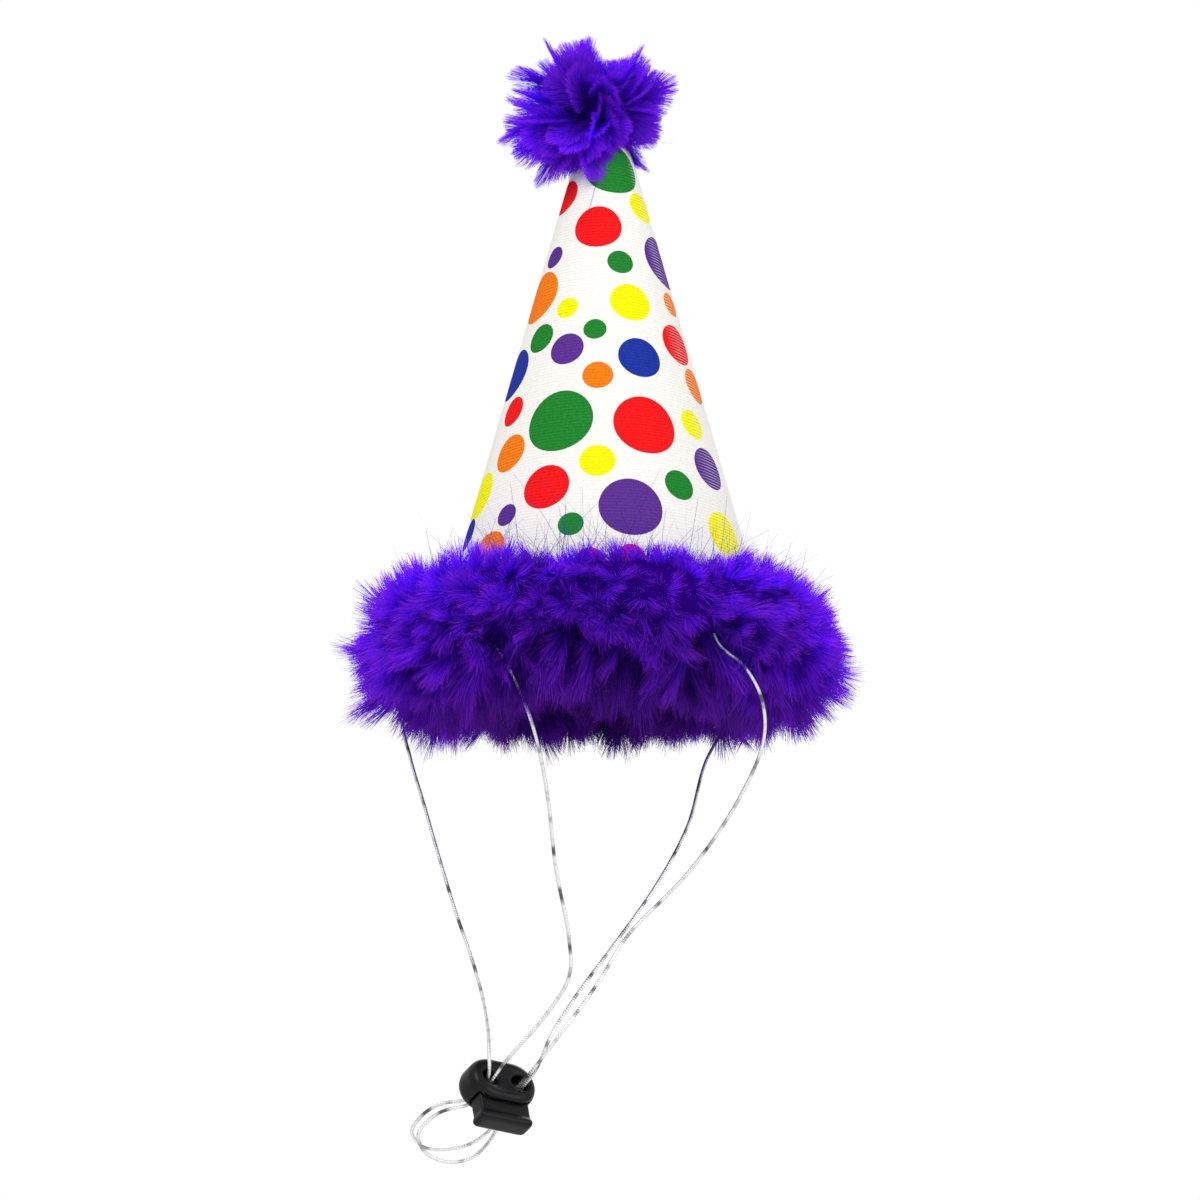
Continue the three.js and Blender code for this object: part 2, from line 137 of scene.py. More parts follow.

# The printed dots of the front, charted: the colour, the degrees round the cone from its
# front towards +X, the distance up the cloth from its lower edge and the diameter, both in mm
DOTS = (
    ("green", 16, 146.5, 16.5), ("red", -66, 139, 11), ("red", -6.5, 126.5, 14),
    ("yellow", 57, 135, 9.8), ("purple", -55, 118.5, 7), ("green", 15, 114.5, 7.7),
    ("purple", 70, 118, 16.5), ("orange", -63, 106, 16.5), ("yellow", -28, 99.5, 6.8),
    ("yellow", 20.5, 101, 12.3), ("orange", 65, 104, 7.6), ("green", -47, 91, 9.3),
    ("purple", -24, 85.5, 10.3), ("green", -6, 91.5, 6.7), ("blue", 22.5, 82.5, 13),
    ("red", 57.5, 90, 12.8), ("orange", -3.5, 76, 8.9), ("blue", -71, 82, 16),
    ("orange", 68, 78, 11), ("red", -58, 68.5, 9.4), ("green", -23, 61.5, 20),
    ("red", 21, 60, 18.8), ("yellow", 52.5, 63.5, 9.4), ("orange", -51, 54, 12),
    ("yellow", -3, 47.5, 10.3), ("purple", 57.5, 50, 13.2), ("red", -25.5, 40, 14.2),
    ("green", 34.5, 41.5, 9.6), ("yellow", -71, 43.5, 15), ("purple", 11, 32.5, 18.5),
    ("purple", -43.5, 33, 7), ("green", -13, 27, 7.5), ("yellow", 57, 28.5, 15.2),
    ("blue", -74, 32, 10), ("orange", -50, 22, 13.5), ("red", -5, 14.5, 9),
    ("red", 10, 16.5, 7.8), ("yellow", 33, 10, 9), ("green", -28, 7, 11),
    ("blue", 72, 12, 12),
)

# How finely a dot is cut, and the least cloth between two dots at the back
DOT_SIDES = 36
DOT_GAP = 2.2 * MM

# The lap at the back: its width, and the room between its two edges
LAP = 7 * MM
LAP_ROOM = 0.05 * MM

# The flat cut: a sector of a ring, with its two distances from the cone's apex and its angles
CUT_NEAR = TIP_RADIUS / sin(HALF_ANGLE)
CUT_FAR = OPENING_RADIUS / sin(HALF_ANGLE)
HALF_TURN = pi * sin(HALF_ANGLE)
LAP_TURN = LAP / CUT_FAR
CUT_EDGE = HALF_TURN + LAP_TURN / 2

# The cloth's mesh: the step between its points, how far every other row is shifted as a share of
# that step, the fewest points in a row, how many steps of the edge the tip takes at once, and how
# near to the apex its straight chords come
CLOTH_STEP = 3 * MM
ROW_SHIFT = 0.4
FEWEST_ACROSS = 8
TIP_STRIDE = 3
SAME_POINT = 1e-7
SLACK = 1e-6
TIP_CHORD = 0.97

# The weave: the pitch of its ribs and of its threads, and how much each adds to the relief
RIB_PITCH = 1.0 * MM
THREAD_PITCH = 0.5 * MM
RIB_RELIEF = 0.16
THREAD_RELIEF = 0.12

# How far the relief darkens and brightens the printed dots and the plain cloth: painted shade where
# the weave lies low and painted light where it stands high
RELIEF_RANGE = (0.15, 0.85)
PRINT_TONES = (0.70, 1.16)
PLAIN_TONES = (0.84, 1.02)

# Painted sheen: pale rib tops painted on the dots on the cone's right side, standing in for light
# that glances off the ribs there: where they begin and where they fade, as a slope in the flat cut,
# how strong they are at most and as a share after that, and the part of a rib's wave that they take up
SHEEN_PAINT_BEGINS = (0.22, 0.27)
SHEEN_PAINT_FADES = (0.28, 0.36)
SHEEN_PAINT_MOST = 0.5
SHEEN_PAINT_LEFT = 0.3
RIB_TOPS = (0.55, 0.95)

# The feathers' colours from root to tip, as linear red, green and blue: dark roots as painted shade
# deep in the fluff, and pale tips as painted light shining through the thin barbs
PLUME_ROOT = np.array((0.014, 0.0002, 0.13))
PLUME_MIDDLE = np.array((0.094, 0.003, 0.72))
PLUME_TIP = np.array((0.37, 0.026, 0.96))

# A feather's barbs: their width, the places along them from root to tip, and their taper there
BARB_WIDTH = 0.2 * MM
BARB_STEPS = np.array((0, 0.5, 1.0))
BARB_TAPER = np.array((0.9, 0.9, 0.35))

# The round of a feather's tip: its middle as a share of the length, and its sweep to either side
ROUND_FROM = 0.55
ROUND_SWEEP = radians(112)

# What makes a feather uneven: how many waves its edge has and how deep they are, how much shorter
# and longer its barbs may be, and how far along the shaft they may start
EDGE_WAVES = ((5, 0.06), (13, 0.03))
BARB_SHORTER = 0.12
BARB_LONGEST = 1.03
START_UP_TO = 0.5

# How deep a feather is cupped as a share of its half width, and how its barbs stray, turn and
# differ in tone
CUP_DEPTH = 0.3
BARB_STRAY = 0.35 * MM
BARB_TURN = 0.4
BARB_TINT = 0.1

# How much faster a barb leaves its shaft than it ends, and the power by which it spreads sideways
BARB_EASE = 0.3
BARB_SPREAD = 1.4

# How far up its colours a barb is: at the root, and more along the feather, away from its middle
# and towards the barb's own tip, so painting shade deep in the feathers and light at their edges
PALE_ROOT = 0.1
PALE_ALONG = 0.62
PALE_ACROSS = 0.16
PALE_TIP = 0.14

# The wisps: their width, how finely they are modelled, how they bend and taper, how far up the
# feathers' colours they begin and end, and their tone
WISP_WIDTH = 0.17 * MM
WISP_STEPS = 6
WISP_BEND = 0.5
WISP_TAPER = 0.6
WISP_COLOURS = (0.25, 0.55)
WISP_TONE = 0.5

# How far the cloth keeps the brim, the pompom and the wisps off itself
BRIM_GAP = 0.5 * MM
POMPOM_GAP = 0.4 * MM

# The brim: a feather cord laid round the cone's lower edge
BRIM_SEED = 11
BRIM_CORD_RADIUS = 51.5 * MM
BRIM_CORD_HEIGHT = 3 * MM
BRIM_CORE = 2.5 * MM
BRIM_LOBES = 880
BRIM_BARBS = 180
BRIM_PIECES = 4
BRIM_LOOSENESS = 3
BRIM_HALF_WIDTHS = (5.5 * MM, 8.5 * MM)
WIDEST_SHARE = 0.5

# How the brim's feathers differ: their first bend and their curl, least and most, in radians, and
# the least and the most of their length and of their tone, and how their swirl strays
BRIM_BOWS = ((0.0, 0.15), (0.25, 0.65))
BRIM_UNEVEN = (0.84, 1.04)
BRIM_TINTS = (0.75, 1.2)
SWIRL_STRAY = 0.6
WAY_STRAY = 0.1

# Steps that spread the feathers evenly over the brim in both directions
EVEN_TURN = 0.7548777
EVEN_TILT = 0.5698403

# Painted light and shade on the brim: the tone at each tilt in degrees, darkest on the shaded
# underside and brightest on top, and how much brighter the sides are painted
SHADE_TILTS = (-120, -60, 0, 50)
SHADE_TONES = (0.42, 0.95, 1.1, 1.4)
PAINTED_SIDE_LIGHT = 0.11

# How the front cord presses the feathers: so far to either side, so far behind it, between two heights
PRESSED_WIDTH = 2.9 * MM
PRESSED_DEPTH = 0.9 * MM
PRESSED_FROM = -9.5 * MM
PRESSED_DOWN_TO = -22 * MM
PRESSED_STEPS = 8

# The lengths of the brim's feathers in mm: a row for every 45 degrees round the hat from +X, and
# a column for each tilt from level, from those that curl in under the opening to the top ones
BRIM_TILTS = (-145, -105, -65, -25, 15, 55, 80)
BRIM_LENGTHS = (
    (30, 28, 25, 18, 14, 16, 9),
    (28, 22, 20, 18, 16, 14, 8),
    (26, 17, 14, 17, 17, 12, 9),
    (28, 22, 19, 20, 20, 14, 9),
    (30, 29, 28, 21, 20, 17, 10),
    (36, 32, 27, 21, 20, 18, 10),
    (37, 33, 25, 19, 17, 11, 7),
    (35, 32, 27, 18, 16, 16, 9),
)

# The stray wisps of the brim: how many, the longest, the shortest and the ones at the sides as
# shares of it, the power that makes short ones common, their tilts, how they spread, and where
# they leave the feathers
BRIM_WISPS = 1500
BRIM_WISP = 14 * MM
SHORTEST_WISP = 0.4
SIDE_WISP = 0.4
WISP_POWER = 1.5
BRIM_WISP_TILTS = (radians(50), radians(105))
BRIM_WISP_SPREAD = 0.25
BRIM_WISP_OUT = 2 * MM
BRIM_WISP_ROOT = 9 * MM

# The lumpy down inside the brim, a dark sheet of painted shade in the fluff's depths: its seed, its
# mesh, its size, its place about the feather cord, and the number and depth of its lumps
DOWN_SEED = 5
DOWN_TURNS = 120
DOWN_SIDES = 20
DOWN_REACH = 9.5 * MM
DOWN_OUT = 4 * MM
DOWN_DROP = 2 * MM
DOWN_GAP = 0.4 * MM
DOWN_LUMPS = 12
LUMP_DEPTH = 0.03

# The pompom: where it is tied, in front of the cone's tip, the radius of its core, and how far
# out in the core its feathers have their roots
POMPOM_SEED = 23
POMPOM_TIE = Vector((-2, -6.5, 159.5)) * MM
POMPOM_CORE = 5.5 * MM
POMPOM_BARBS = 390
POMPOM_LOOSENESS = 1
LOBES_PER_TUFT = 3
POMPOM_ROOT = 0.4

# How the pompom's feathers differ: their first bend and their curl, least and most, in radians,
# the least and the most of their length, of their width and of a tuft's tone, and how that strays
POMPOM_BOWS = ((0.0, 0.15), (0.2, 0.7))
POMPOM_UNEVEN = (0.86, 1.02)
POMPOM_WIDEN = (0.85, 1.15)
POMPOM_TINTS = (0.95, 1.35)
TINT_STRAY = 0.08

# The dark heart of the pompom, a ball of painted shade in its depths: its middle, its mesh, and its shape
# as shares of the core
POMPOM_HEART = Vector((-1.5, -2.4, 161)) * MM
HEART_ROWS = 14
HEART_SIDES = 24
HEART_DEPTH = 1.6
HEART_HEIGHT = 0.8
HEART_LUMP = 0.12

# The tufts of the pompom: the turn from +X and the tilt from level of each, in degrees, and its
# length and its half width in mm
POMPOM_TUFTS = (
    (180, 5, 26, 7.5), (190, -20, 25.5, 7.5), (200, -43, 23.5, 7), (200, -60, 22, 5), (232, -62, 19, 6),
    (170, 40, 24.5, 7.5), (185, 72, 22, 7), (330, 56, 16.5, 7), (350, 36, 20.5, 7.5), (345, 8, 19, 7),
    (350, -16, 19.5, 6.5), (222, 28, 19, 7.5), (300, 32, 15, 7), (290, -10, 10, 5), (258, -58, 12, 6),
    (310, -50, 12, 6), (30, 28, 21, 8), (60, 10, 21, 8), (90, 45, 22, 8), (100, -5, 21, 8),
    (130, 15, 25, 8), (148, -18, 25, 8), (70, -20, 19, 7), (150, 68, 21, 7.5), (15, -8, 17, 6.5),
    (120, -30, 21, 7.5), (165, -38, 23, 7.5), (90, -35, 22, 7.5), (65, -48, 20, 7), (115, -48, 20, 7),
)

# The wisps of the pompom: how many, the longest, the shortest as a share of it, and their tilts
POMPOM_WISPS = 70
POMPOM_WISP = 13 * MM
POMPOM_SHORTEST = 0.6
POMPOM_WISP_TILTS = (radians(-85), radians(-50))

# The lock: its plastic's colour and its range of roughness, and how finely its edges are rounded
PLASTIC = (0.005, 0.005, 0.005, 1)
SATIN = (0.26, 0.42)
LOCK_VOXEL = 0.25 * MM
LOCK_EASING = 60


# Meshes

def add_piece(name, data):
    piece = bpy.data.objects.new(name, data)
    bpy.context.scene.collection.objects.link(piece)
    return piece


def add_mesh(name, vertices, faces, materials, smooth=True):
    mesh = bpy.data.meshes.new(name)
    mesh.from_pydata([tuple(v) for v in vertices], [], [tuple(f) for f in faces])
    for material in materials:
        mesh.materials.append(material)
    mesh.polygons.foreach_set("use_smooth", [smooth] * len(mesh.polygons))
    mesh.update()
    return add_piece(name, mesh)


def add_uv(piece, name, places):
    """A UV layer that gives every vertex its own place."""
    layer = piece.data.uv_layers.new(name=name)
    for polygon in piece.data.polygons:
        for corner, vertex in zip(polygon.loop_indices, polygon.vertices):
            layer.data[corner].uv = places[vertex]


def add_strips(name, sections, colours, material):
    """One mesh of many ribbons: sections has the shape ribbons, steps, 2 edges, 3."""
    ribbons, steps = sections.shape[:2]
    corner = np.arange(ribbons * steps * 2, dtype=np.int32).reshape(ribbons, steps, 2)
    low, high = corner[:, :-1], corner[:, 1:]
    quads = np.stack([low[..., 0], low[..., 1], high[..., 1], high[..., 0]], axis=-1).reshape(-1, 4)
    mesh = bpy.data.meshes.new(name)
    mesh.vertices.add(ribbons * steps * 2)
    mesh.vertices.foreach_set("co", sections.astype(np.float32).ravel())
    mesh.loops.add(quads.size)
    mesh.loops.foreach_set("vertex_index", quads.ravel())
    mesh.polygons.add(len(quads))
    mesh.polygons.foreach_set("loop_start", np.arange(0, quads.size, 4, dtype=np.int32))
    mesh.update(calc_edges=True)
    mesh.polygons.foreach_set("use_smooth", [True] * len(quads))
    tint = mesh.color_attributes.new("plume_colour", "FLOAT_COLOR", "POINT")
    rgba = np.ones((ribbons, steps, 2, 4), dtype=np.float32)
    rgba[..., :3] = colours[:, :, None]
    tint.data.foreach_set("color", rgba.ravel())
    mesh.materials.append(material)
    return add_piece(name, mesh)


def smooth_route(points, steps):
    """The centripetal Catmull-Rom curve through the points, with so many steps in each span."""
    points = np.array(points)
    ends = (2 * points[0] - points[1], 2 * points[-1] - points[-2])
    held = np.vstack([ends[0], points, ends[1]])
    share = np.linspace(0, 1, steps, endpoint=False)[:, None]
    curve = []
    for before, start, end, after in zip(held, held[1:], held[2:], held[3:]):
        to_start, across, from_end = (
            np.linalg.norm(b - a) ** 0.5 for a, b in ((before, start), (start, end), (end, after))
        )
        leave = (start - before) / to_start - (end - before) / (to_start + across)
        leave = across * leave + (end - start)
        arrive = (after - end) / from_end - (after - start) / (across + from_end)
        arrive = across * arrive + (end - start)
        square = -3 * start + 3 * end - 2 * leave - arrive
        cube = 2 * start - 2 * end + leave + arrive
        curve.append(start + leave * share + square * share**2 + cube * share**3)
    return np.vstack(curve + [points[-1:]])


def tube(name, path, radius, sides, material):
    """A closed round tube along a path."""
    path = np.array(path)
    tangents = np.gradient(path, axis=0)
    tangents /= np.linalg.norm(tangents, axis=1)[:, None]
    across = np.cross(tangents[0], (0.31, 0.87, 0.38))
    rings = []
    turns = np.linspace(0, 2 * pi, sides, endpoint=False)
    for middle, tangent in zip(path, tangents):
        across = across - tangent * np.dot(across, tangent)
        across /= np.linalg.norm(across)
        other = np.cross(tangent, across)
        ring = np.cos(turns)[:, None] * across + np.sin(turns)[:, None] * other
        rings.append(middle + radius * ring)
    faces = [
        (ring * sides + side, ring * sides + (side + 1) % sides,
         (ring + 1) * sides + (side + 1) % sides, (ring + 1) * sides + side)
        for ring in range(len(path) - 1)
        for side in range(sides)
    ]
    faces.append(tuple(reversed(range(sides))))
    faces.append(tuple((len(path) - 1) * sides + side for side in range(sides)))
    piece = add_mesh(name, np.vstack(rings), faces, [material])
    lengths = np.r_[0, np.cumsum(np.linalg.norm(np.diff(path, axis=0), axis=1))]
    add_uv(piece, "along_cord", [(length, side / sides) for length in lengths for side in range(sides)])
    return piece


# Nodes of the materials

def new_material(name):
    material = bpy.data.materials.new(name)
    material.use_nodes = True
    tree = material.node_tree
    return material, tree, tree.nodes["Principled BSDF"]


def set_values(node, **values):
    """Sets a node's own properties, and its inputs by their names with _ for each space."""
    for key, value in values.items():
        if hasattr(node, key):
            setattr(node, key, value)
        else:
            node.inputs[key.replace("_", " ")].default_value = value


def add_node(tree, kind, **values):
    node = tree.nodes.new(kind)
    set_values(node, **values)
    return node


def math_node(tree, operation, first, second=None):
    node = add_node(tree, "ShaderNodeMath", operation=operation)
    for socket, value in zip(node.inputs, (first, second)):
        if isinstance(value, (int, float)):
            socket.default_value = value
        elif value is not None:
            tree.links.new(value, socket)
    return node.outputs[0]


def map_range(tree, value, source, target):
    node = add_node(tree, "ShaderNodeMapRange")
    tree.links.new(value, node.inputs["Value"])
    for socket, number in zip(("From Min", "From Max", "To Min", "To Max"), (*source, *target)):
        node.inputs[socket].default_value = number
    return node.outputs[0]


def noise(tree, place, **values):
    node = add_node(tree, "ShaderNodeTexNoise", **values)
    tree.links.new(place, node.inputs["Vector"])
    return node.outputs["Fac"]


def colour_ramp(tree, value, stops):
    """A ramp between two stops, each a place and a colour."""
    node = add_node(tree, "ShaderNodeValToRGB")
    for element, (place, colour) in zip(node.color_ramp.elements, stops):
        element.position = place
        element.color = (*colour, 1)
    tree.links.new(value, node.inputs[0])
    return node.outputs[0]


def add_bump(tree, surface, height, strength, distance):
    node = add_node(tree, "ShaderNodeBump", Strength=strength, Distance=distance)
    tree.links.new(height, node.inputs["Height"])
    tree.links.new(node.outputs[0], surface.inputs["Normal"])


def waves(tree, place, pitch):
    """A sine wave that repeats with the pitch."""
    return math_node(tree, "SINE", math_node(tree, "MULTIPLY", place, 2 * pi / pitch))


# Materials

def cloth_material(name, colour, printed):
    """Cloth with ribs round the cone; its relief paints shade into the weave's low places and light onto
    its high ones, and printed dots get painted sheen on their rib tops on the cone's right side.
    """
    material, tree, surface = new_material(name)
    flat = add_node(tree, "ShaderNodeUVMap", uv_map="flat_cut").outputs[0]
    split = add_node(tree, "ShaderNodeSeparateXYZ")
    tree.links.new(flat, split.inputs[0])
    reach = add_node(tree, "ShaderNodeVectorMath", operation="LENGTH")
    tree.links.new(flat, reach.inputs[0])
    ribs = waves(tree, reach.outputs["Value"], RIB_PITCH)
    threads = waves(tree, split.outputs[1], THREAD_PITCH)
    rib_relief = math_node(tree, "MULTIPLY", ribs, RIB_RELIEF)
    thread_relief = math_node(tree, "MULTIPLY", threads, THREAD_RELIEF)
    weave = math_node(tree, "ADD", rib_relief, thread_relief)
    relief = math_node(tree, "ADD", weave, noise(tree, flat, Scale=1100.0, Detail=3.0))
    # Painted shade and light: the weave's low places darker, its high ones lighter
    tone = map_range(tree, relief, RELIEF_RANGE, PRINT_TONES if printed else PLAIN_TONES)
    paint = add_node(tree, "ShaderNodeMix", data_type="RGBA", blend_type="MULTIPLY")
    paint.inputs["Factor"].default_value = 1
    paint.inputs[6].default_value = (*colour, 1)
    tree.links.new(tone, paint.inputs[7])
    shown = paint.outputs[2]
    # Painted sheen: cream on the rib tops of the dots on the cone's right side
    if printed:
        sideways = math_node(tree, "DIVIDE", split.outputs[1], split.outputs[0])
        begun = map_range(tree, sideways, SHEEN_PAINT_BEGINS, (0.0, SHEEN_PAINT_MOST))
        left = map_range(tree, sideways, SHEEN_PAINT_FADES, (1.0, SHEEN_PAINT_LEFT))
        rib_tops = map_range(tree, ribs, RIB_TOPS, (0.0, 1.0))
        painted_sheen = add_node(tree, "ShaderNodeMix", data_type="RGBA")
        strength = math_node(tree, "MULTIPLY", begun, left)
        tree.links.new(math_node(tree, "MULTIPLY", rib_tops, strength), painted_sheen.inputs["Factor"])
        tree.links.new(shown, painted_sheen.inputs[6])
        painted_sheen.inputs[7].default_value = (*PRINT_COLOURS["cream"], 1)
        shown = painted_sheen.outputs[2]
    tree.links.new(shown, surface.inputs["Base Color"])
    add_bump(tree, surface, relief, strength=0.4, distance=0.12 * MM)
    set_values(surface, Roughness=0.85, Specular_IOR_Level=0.05)
    return material


def plume_material():
    """Soft barbs that take their own colour, and let some light through from behind."""
    material, tree, surface = new_material("marabou")
    tint = add_node(tree, "ShaderNodeVertexColor", layer_name="plume_colour")
    tree.links.new(tint.outputs["Color"], surface.inputs["Base Color"])
    set_values(surface, Roughness=0.65, Specular_IOR_Level=0.18)
    set_values(surface, Sheen_Weight=0.1, Sheen_Tint=(0.45, 0.2, 1, 1))
    through = add_node(tree, "ShaderNodeBsdfTranslucent")
    tree.links.new(tint.outputs["Color"], through.inputs["Color"])
    blend = add_node(tree, "ShaderNodeMixShader")
    blend.inputs[0].default_value = 0.4
    tree.links.new(surface.outputs[0], blend.inputs[1])
    tree.links.new(through.outputs[0], blend.inputs[2])
    tree.links.new(blend.outputs[0], tree.nodes["Material Output"].inputs["Surface"])
    return material


def painted_shade_material():
    """Painted shade: the dark down under the feathers, standing in for the fluff's shaded depths."""
    material, tree, surface = new_material("down")
    place = add_node(tree, "ShaderNodeTexCoord").outputs["Object"]
    clumps = noise(tree, place, Scale=260.0, Detail=4.0)
    # Painted shade: dark colours from the feathers' roots and middle, for their shaded depths
    tint = colour_ramp(tree, clumps, ((0, PLUME_ROOT * 0.8), (1, PLUME_MIDDLE * 0.35)))
    tree.links.new(tint, surface.inputs["Base Color"])
    set_values(surface, Roughness=1, Specular_IOR_Level=0)
    return material


def elastic_material():
    """Metallic silver braid: fine crossing strands, and glints painted along the cord in its colour."""
    material, tree, surface = new_material("silver_elastic")
    split = add_node(tree, "ShaderNodeSeparateXYZ")
    tree.links.new(add_node(tree, "ShaderNodeUVMap", uv_map="along_cord").outputs[0], split.inputs[0])
    along = math_node(tree, "MULTIPLY", split.outputs[0], 2 * pi / BRAID_PITCH)
    around = math_node(tree, "MULTIPLY", split.outputs[1], 2 * pi * BRAID_STRANDS)
    rising = math_node(tree, "SINE", math_node(tree, "ADD", along, around))
    falling = math_node(tree, "SINE", math_node(tree, "SUBTRACT", along, around))
    braid = math_node(tree, "MULTIPLY", rising, falling)
    add_bump(tree, surface, braid, strength=0.6, distance=0.1 * MM)
    # Painted glints: the noise along the cord turns its colour from dull grey to bright silver
    painted_glint = add_node(tree, "ShaderNodeTexNoise", noise_dimensions="1D", Scale=150.0, Detail=2.0)
    tree.links.new(split.outputs[0], painted_glint.inputs["W"])
    tree.links.new(colour_ramp(tree, painted_glint.outputs["Fac"], SILVER_AND_PAINTED_GLINTS), surface.inputs["Base Color"])
    set_values(surface, Metallic=0.85, Roughness=0.3)
    return material


def lock_material():
    """Moulded black plastic with a fine satin grain."""
    material, tree, surface = new_material("black_plastic")
    place = add_node(tree, "ShaderNodeTexCoord").outputs["Object"]
    grain = noise(tree, place, Scale=2600.0, Detail=3.0)
    tree.links.new(map_range(tree, grain, (0, 1), SATIN), surface.inputs["Roughness"])
    add_bump(tree, surface, grain, strength=0.12, distance=0.05 * MM)
    set_values(surface, Base_Color=PLASTIC, Specular_IOR_Level=0.2)
    return material


def floor_material():
    material, tree, surface = new_material("pale_floor")
    mottle = add_node(tree, "ShaderNodeTexNoise", Scale=3.0).outputs["Fac"]
    tint = colour_ramp(tree, mottle, ((0, (0.86, 0.86, 0.86)), (1, (0.9, 0.9, 0.9))))
    tree.links.new(tint, surface.inputs["Base Color"])
    return material


# The camera, the light and the floor

def make_camera():
    scene = bpy.context.scene
    tilt = radians(CAMERA_ELEVATION)
    back = Vector((0, -cos(tilt), sin(tilt)))
    data = bpy.data.cameras.new("camera")
    data.sensor_width = SENSOR
    data.lens = SENSOR * CAMERA_DISTANCE * PIXELS_PER_METRE / PHOTO_SIZE
    camera = add_piece("camera", data)
    camera.location = CAMERA_TARGET + back * CAMERA_DISTANCE
    camera.rotation_euler = back.to_track_quat("Z", "Y").to_euler()
    scene.camera = camera
    scene.view_settings.view_transform = "Standard"


def make_light():
    """Soft light from all sides and three lamps; the camera itself sees a white backdrop."""
    world = bpy.data.worlds.new("studio")
    world.use_nodes = True
    tree = world.node_tree
    light = tree.nodes["Background"]
    set_values(light, Color=(1, 1, 1, 1), Strength=WORLD_LIGHT)
    white = add_node(tree, "ShaderNodeBackground", Color=(1, 1, 1, 1))
    rays = add_node(tree, "ShaderNodeLightPath")
    choice = add_node(tree, "ShaderNodeMixShader")
    tree.links.new(rays.outputs["Is Camera Ray"], choice.inputs[0])
    tree.links.new(light.outputs[0], choice.inputs[1])
    tree.links.new(white.outputs[0], choice.inputs[2])
    tree.links.new(choice.outputs[0], tree.nodes["World Output"].inputs["Surface"])
    bpy.context.scene.world = world
    for name, place, size, power in LAMPS:
        data = bpy.data.lights.new(name, "AREA")
        data.size = size
        data.energy = power
        lamp = add_piece(name, data)
        lamp.location = place
        lamp.rotation_euler = Vector(place).to_track_quat("Z", "Y").to_euler()


def make_floor():
    half = FLOOR_HALF
    corners = [(x, y, -FLOOR_DROP) for x, y in ((-half, -half), (half, -half), (half, half), (-half, half))]
    add_mesh("floor", corners, [(0, 1, 2, 3)], [floor_material()])


# The elastic cords and their knots

def knot_path(centre, size):
    """A tight overhand knot: a trefoil about the centre."""
    turn = np.linspace(0, 2 * pi, KNOT_STEPS)
    shape = np.stack([
        np.sin(turn) + 2 * np.sin(2 * turn),
        np.cos(turn) - 2 * np.cos(2 * turn),
        -KNOT_DEPTH * np.sin(3 * turn),
    ], axis=1)
    return np.array(centre) + shape * size / KNOT_REACH


def make_knot(node, silver):
    low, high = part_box(node)
    centre = (np.array(low) + np.array(high)) / 2
    size = (high[0] - low[0]) / 2 - KNOT_STRAND
    knot = tube(f"tied_{node}", knot_path(centre, size), KNOT_STRAND, KNOT_SIDES, silver)
    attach(knot, "hat")
    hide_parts(node)
    return knot


def make_cords(silver):
    for place, route in (("rear", REAR_ROUTE), ("front", FRONT_ROUTE)):
        path = smooth_route(route, CORD_STEPS)
        cord = tube(f"braided_elastic_{place}", path, CORD_DIAMETER / 2, CORD_SIDES, silver)
        knots = [make_knot(f"knot_{place}_{side}", silver) for side in ("left", "right")]
        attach(cord, "hat")
        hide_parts(f"elastic_{place}")


# The printed cloth cone

def on_cut(reach, angle):
    """A place in the flat cut, from its distance to the apex and its angle from the middle."""
    return Vector((reach * cos(angle), reach * sin(angle)))


def rolled(place, lift):
    """A place in the flat cut, on the rolled cone and lifted off its surface."""
    turn = atan2(place.y, place.x) / sin(HALF_ANGLE)
    radius = place.length * sin(HALF_ANGLE) + lift * cos(HALF_ANGLE)
    height = (CUT_FAR - place.length) * cos(HALF_ANGLE) + lift * sin(HALF_ANGLE)
    return Vector((radius * sin(turn), -radius * cos(turn), height))


def printed_dots():
    """The colour, the place in the flat cut and the radius of every dot, front and back."""
    dots = []
    for turned_by in (0, 180):
        for colour, degrees_round, distance_up, diameter in DOTS:
            turn = (degrees_round + turned_by + 180) % 360 - 180
            place = on_cut(CUT_FAR - distance_up * MM, radians(turn) * sin(HALF_ANGLE))
            radius = diameter / 2 * MM
            clear = all((place - other).length > radius + size + DOT_GAP for _, other, size in dots)
            if turned_by == 0 or clear:
                dots.append((colour, place, radius))
    return dots


def closed_loop(first, count):
    return [(first + step, first + (step + 1) % count) for step in range(count)]


def cut_points(dots):
    """The points of the flat cut, and the edges that it keeps: its outline's and each dot's."""
    angles = np.linspace(-CUT_EDGE, CUT_EDGE, int(CUT_FAR * 2 * HALF_TURN / CLOTH_STEP) + 1)
    reaches = np.linspace(CUT_NEAR, CUT_FAR, int((CUT_FAR - CUT_NEAR) / CLOTH_STEP) + 1)
    points = [on_cut(CUT_FAR, angle) for angle in angles]
    points += [on_cut(reach, CUT_EDGE) for reach in reaches[-2::-1]]
    points += [on_cut(CUT_NEAR, angle) for angle in angles[-2:0:-TIP_STRIDE]]
    points += [on_cut(reach, -CUT_EDGE) for reach in reaches[:-1]]
    edges = closed_loop(0, len(points))
    for _, place, radius in dots:
        edges += closed_loop(len(points), DOT_SIDES)
        points += [place + on_cut(radius, 2 * pi * side / DOT_SIDES) for side in range(DOT_SIDES)]
    for row, reach in enumerate(reaches[1:-1]):
        count = max(FEWEST_ACROSS, int(reach * 2 * HALF_TURN / CLOTH_STEP))
        shift = (row % 2) * ROW_SHIFT * 2 * CUT_EDGE / (count + 1)
        across = np.linspace(-CUT_EDGE, CUT_EDGE, count + 2)[1:-1]
        points += [on_cut(reach, angle + shift) for angle in across]
    return points, edges


